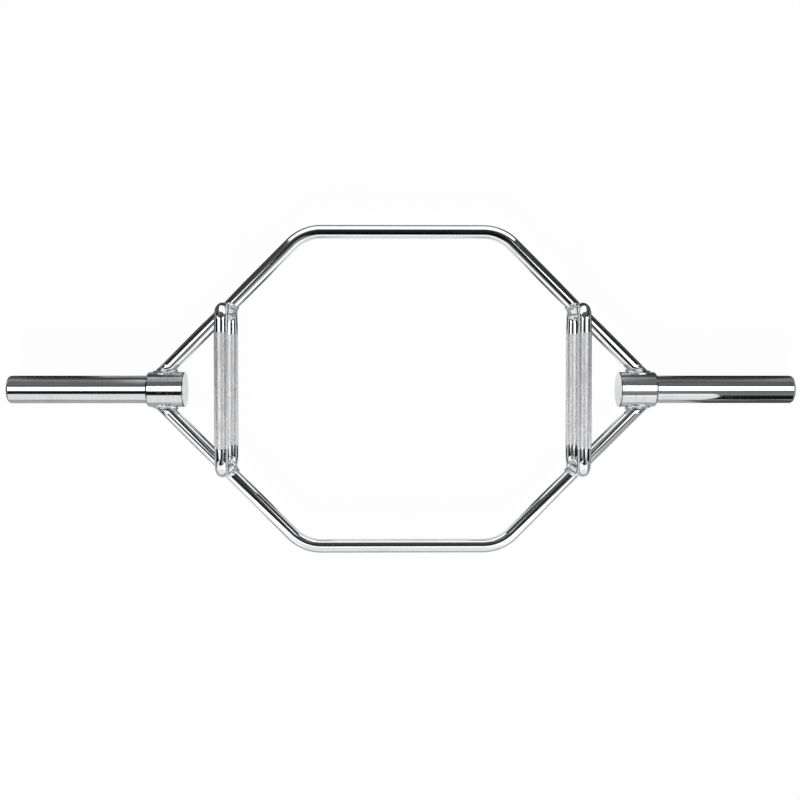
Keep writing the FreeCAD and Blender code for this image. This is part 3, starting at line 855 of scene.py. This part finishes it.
# in the metal the paper is painted dark, a painted shade seen only in reflections, apart from these pale
# patches, painted reflections of lit paper: x from, x to, y from, y to, soft edge
paintedReflectionPatches = {
    "leftSleeveFront": {"box": (-0.85, -0.37, -0.32, 0.0, 0.04), "level": 0.56},
    "rightSleeveFront": {"box": (0.37, 0.57, -0.32, 0.0, 0.04), "level": 0.56},
    "leftCollarRear": {"box": (-0.60, -0.36, 0.0, 0.13, 0.05), "level": 0.75},
    "rightCollarRear": {"box": (0.36, 0.53, 0.0, 0.10, 0.05), "level": 0.75},
    "leftCap": {"box": (-0.42, -0.31, -0.06, 0.06, 0.025), "level": 1.0},
    "rightCap": {"box": (0.31, 0.42, -0.06, 0.06, 0.025), "level": 1.0},
    "grips": {"box": (-0.32, 0.32, -0.12, 0.12, 0.02), "level": 0.62},
    "middle": {"box": (-0.17, 0.17, -0.22, 0.22, 0.05), "level": 0.95},
    "frontRailInside": {"box": (-0.24, 0.24, -0.29, -0.17, 0.03), "level": 1.0},
    "rearRailInside": {"box": (-0.24, 0.24, 0.17, 0.29, 0.03), "level": 0.95},
    "rearOutside": {"box": (-0.24, 0.24, 0.27, 0.62, 0.05), "level": 0.5},
    "leftRearJoint": {"box": (-0.40, -0.26, 0.10, 0.22, 0.03), "level": 0.95},
    "rightRearJoint": {"box": (0.26, 0.40, 0.10, 0.22, 0.03), "level": 0.95},
    "leftFrontJoint": {"box": (-0.42, -0.24, -0.31, -0.10, 0.04), "level": 0.90},
    "rightFrontJoint": {"box": (0.24, 0.42, -0.31, -0.10, 0.04), "level": 0.90},
    "frontOutside": {"box": (-0.75, 0.75, -0.90, -0.19, 0.05), "level": 0.55},
    "leftTip": {"box": (-2.40, -0.76, -0.60, 0.60, 0.05), "level": 0.58},
    "rightTip": {"box": (0.76, 2.40, -0.60, 0.60, 0.05), "level": 0.58},
}


def softBox(tree, parts, box):
    left, right, front, rear, soft = box
    acrossX = mathNode(tree, "MULTIPLY", remap(tree, parts["X"], left, left + soft),
                       remap(tree, parts["X"], right, right - soft))
    acrossY = mathNode(tree, "MULTIPLY", remap(tree, parts["Y"], front, front + soft),
                       remap(tree, parts["Y"], rear, rear - soft))
    return mathNode(tree, "MULTIPLY", acrossX, acrossY)


def makeFloor(look):
    half = look["size"] / 2
    mesh = bpy.data.meshes.new("paperFloor")
    corners = [(-half, -half, 0), (half, -half, 0), (half, half, 0), (-half, half, 0)]
    mesh.from_pydata(corners, [], [(0, 1, 2, 3)])
    floor = bpy.data.objects.new("paperFloor", mesh)
    scene.collection.objects.link(floor)
    material = bpy.data.materials.new("paperFloor")
    material.use_nodes = True
    tree = material.node_tree
    tree.nodes.remove(tree.nodes["Principled BSDF"])
    result = tree.nodes["Material Output"]
    ray = addNode(tree, "ShaderNodeLightPath").outputs
    mirrored = mathNode(tree, "MAXIMUM", ray["Is Glossy Ray"], ray["Is Transmission Ray"])
    place = addNode(tree, "ShaderNodeTexCoord").outputs["Object"]
    grain = noise(tree, place, look["grainSize"], 4.0)
    tone = blendColour(tree, grain, look["paper"], tuple(c * look["grainShade"] for c in look["paper"]))
    parts = addNode(tree, "ShaderNodeSeparateXYZ", {0: place}).outputs
    pale = 0.0
    for patch in paintedReflectionPatches.values():
        level = mathNode(tree, "MULTIPLY", softBox(tree, parts, patch["box"]), patch["level"])
        pale = mathNode(tree, "MAXIMUM", level, pale)
    # outside the patches, rays from the metal see the paper painted dark: painted shade in its reflection
    paintedShadeShare = mathNode(tree, "MULTIPLY", mirrored, mathNode(tree, "SUBTRACT", 1.0, pale))
    tone = blendColour(tree, paintedShadeShare, tone, look["shade"])
    paper = addNode(tree, "ShaderNodeBsdfDiffuse", {"Color": tone})
    white = addNode(tree, "ShaderNodeEmission", {"Color": (1, 1, 1, 1), "Strength": 1.0})
    # inside the patches, rays from the metal also see a white glow: painted reflection of lit paper
    paintedGlowShare = remap(tree, pale, look["mirrorStart"], 1.0, 0.0, look["mirrored"])
    share = mathNode(tree, "ADD", mathNode(tree, "MULTIPLY", ray["Is Camera Ray"], look["seen"]),
                     mathNode(tree, "MULTIPLY", mirrored, paintedGlowShare))
    mixed = addNode(tree, "ShaderNodeMixShader", {0: share, 1: paper.outputs[0], 2: white.outputs[0]})
    tree.links.new(mixed.outputs[0], result.inputs["Surface"])
    mesh.materials.append(material)
    return floor


# brightness of the room behind the panels, 1 being white
studioLook = {
    "overhead": 0.040, "rear": 0.20, "rearFade": (0.05, 1.0),
    "frontShare": 0.25, "frontFade": (0.1, 0.4),
    "rearMiddle": 0.40, "middleFade": (0.06, 0.20),
    "rearSides": 0.12, "sidesFade": (0.40, 0.80),
    "mottle": 0.5, "cloudSize": 3.2, "cloudFade": (0.3, 0.7),
    "leastSide": 0.01,              # keeps the slant finite straight ahead
}
# brighter areas of the room: where each fades in along a heading, or out where the two numbers fall
roomAreas = {
    "collarRear": {"level": 0.30,
                   "fades": [("side", 0.12, 0.16), ("side", 0.24, 0.21), ("rear", 0.74, 0.93)]},
    "frontCorners": {"level": 0.24,
                     "fades": [("front", 0.30, 0.50), ("side", 0.34, 0.48), ("side", 0.84, 0.70)]},
    "rightFront": {"level": 0.22,
                   "fades": [("front", 0.12, 0.25), ("front", 0.80, 0.65), ("right", 0.08, 0.20)]},
    "sideWindows": {"level": 0.95,
                    "fades": [("slant", 0.16, 0.26), ("slant", 0.60, 0.48),
                              ("side", 0.36, 0.46), ("up", 0.30, 0.46)]},
    "endWindows": {"level": 0.40,
                   "fades": [("side", 0.93, 0.97), ("up", 0.15, 0.06)]},
}


def makeStudioWorld(look):
    world = bpy.data.worlds.new("studio")
    scene.world = world
    world.use_nodes = True
    tree = world.node_tree
    heading = addNode(tree, "ShaderNodeTexCoord").outputs["Generated"]
    parts = addNode(tree, "ShaderNodeSeparateXYZ", {0: heading}).outputs
    toFront = mathNode(tree, "MULTIPLY", parts["Y"], -1.0)
    toSide = mathNode(tree, "ABSOLUTE", parts["X"])
    slant = mathNode(tree, "DIVIDE", mathNode(tree, "ABSOLUTE", parts["Y"]),
                     mathNode(tree, "MAXIMUM", toSide, look["leastSide"]))
    level = remap(tree, parts["Y"], *look["rearFade"], look["overhead"], look["rear"])
    for along, fade, low, high in ((toFront, "frontFade", 1.0, look["frontShare"]),
                                   (toSide, "middleFade", look["rearMiddle"], 1.0),
                                   (toSide, "sidesFade", 1.0, look["rearSides"])):
        level = mathNode(tree, "MULTIPLY", level, remap(tree, along, *look[fade], low, high))
    headings = {"side": toSide, "front": toFront, "rear": parts["Y"], "right": parts["X"],
                "up": parts["Z"], "slant": slant}
    for area in roomAreas.values():
        share = area["level"]
        for along, low, high in area["fades"]:
            share = mathNode(tree, "MULTIPLY", remap(tree, headings[along], low, high), share)
        level = mathNode(tree, "ADD", level, share)
    cloud = noise(tree, heading, look["cloudSize"], 2.0)
    mottle = remap(tree, cloud, *look["cloudFade"], 1.0 - look["mottle"], 1.0 + look["mottle"])
    level = mathNode(tree, "MULTIPLY", level, mottle)
    ray = addNode(tree, "ShaderNodeLightPath").outputs
    tone = addNode(tree, "ShaderNodeMix", {"Factor": ray["Is Camera Ray"], "A": level, "B": 1.0})
    back = tree.nodes["Background"]
    tree.links.new(tone.outputs[0], back.inputs["Color"])
    back.inputs["Strength"].default_value = 1.0


# level is the panel's own brightness, 1 being white
panels = {
    "frontPanel": {"at": (-0.25, -0.575, 0.284), "aim": (0.0, 0.567, -0.35), "size": (2.0, 0.666),
                   "level": 0.95},
    "frontStrip": {"at": (0.0, -0.325, 0.28), "aim": (0.0, 0.0, -1.0), "size": (0.80, 0.07), "level": 1.1},
    "rearPanel": {"at": (0.0, 0.56, 0.205), "aim": (0.0, -1.0, 0.0), "size": (0.96, 0.41), "level": 1.25},
    "rightPanel": {"at": (0.90, 0.19, 1.2), "aim": (0.0, 0.0, -1.0), "size": (0.90, 0.77), "level": 2.0},
    "leftPanel": {"at": (-0.90, 0.13, 1.2), "aim": (0.0, 0.0, -1.0), "size": (0.90, 0.675), "level": 2.0},
}
keyLook = {"at": (0.0, 0.0, 2.0), "aim": (0.12, 0.91, -0.40), "angle": math.radians(14), "energy": 6.0}
fillLook = {"at": (0.0, 0.0, 3.2), "aim": (0.0, 0.0, -1.0), "size": (3.0, 3.0), "level": 0.6}


def aimLamp(lamp, look):
    rig = bpy.data.objects.new(lamp.name, lamp)
    rig.location = look["at"]
    rig.rotation_euler = Vector(look["aim"]).to_track_quat("-Z", "Y").to_euler()
    rig.visible_camera = False
    scene.collection.objects.link(rig)
    return rig


def makePanel(name, look):
    lamp = bpy.data.lights.new(name, "AREA")
    lamp.shape = "RECTANGLE"
    lamp.size, lamp.size_y = look["size"]
    lamp.energy = look["level"] * look["size"][0] * look["size"][1] * math.pi
    return aimLamp(lamp, look)


makeFloor(floorLook)
makeStudioWorld(studioLook)
for name, look in panels.items():
    makePanel(name, look).visible_diffuse = False     # seen only as a reflection in the metal
keySun = bpy.data.lights.new("keySun", "SUN")
keySun.energy, keySun.angle = keyLook["energy"], keyLook["angle"]
aimLamp(keySun, keyLook).visible_glossy = False
makePanel("fillPanel", fillLook).visible_glossy = False

cameraLook = {"at": (-0.0309, 0.0369, 2.0783), "tilt": (-1.571, -0.748, 0.0), "lens": 50.7, "sensor": 36.0}
camera = bpy.data.cameras.new("overheadCamera")
camera.lens = cameraLook["lens"]
camera.sensor_width = cameraLook["sensor"]
cameraRig = bpy.data.objects.new("overheadCamera", camera)
cameraRig.location = cameraLook["at"]
cameraRig.rotation_euler = [math.radians(a) for a in cameraLook["tilt"]]
scene.collection.objects.link(cameraRig)
scene.camera = cameraRig
print("studio and camera done")
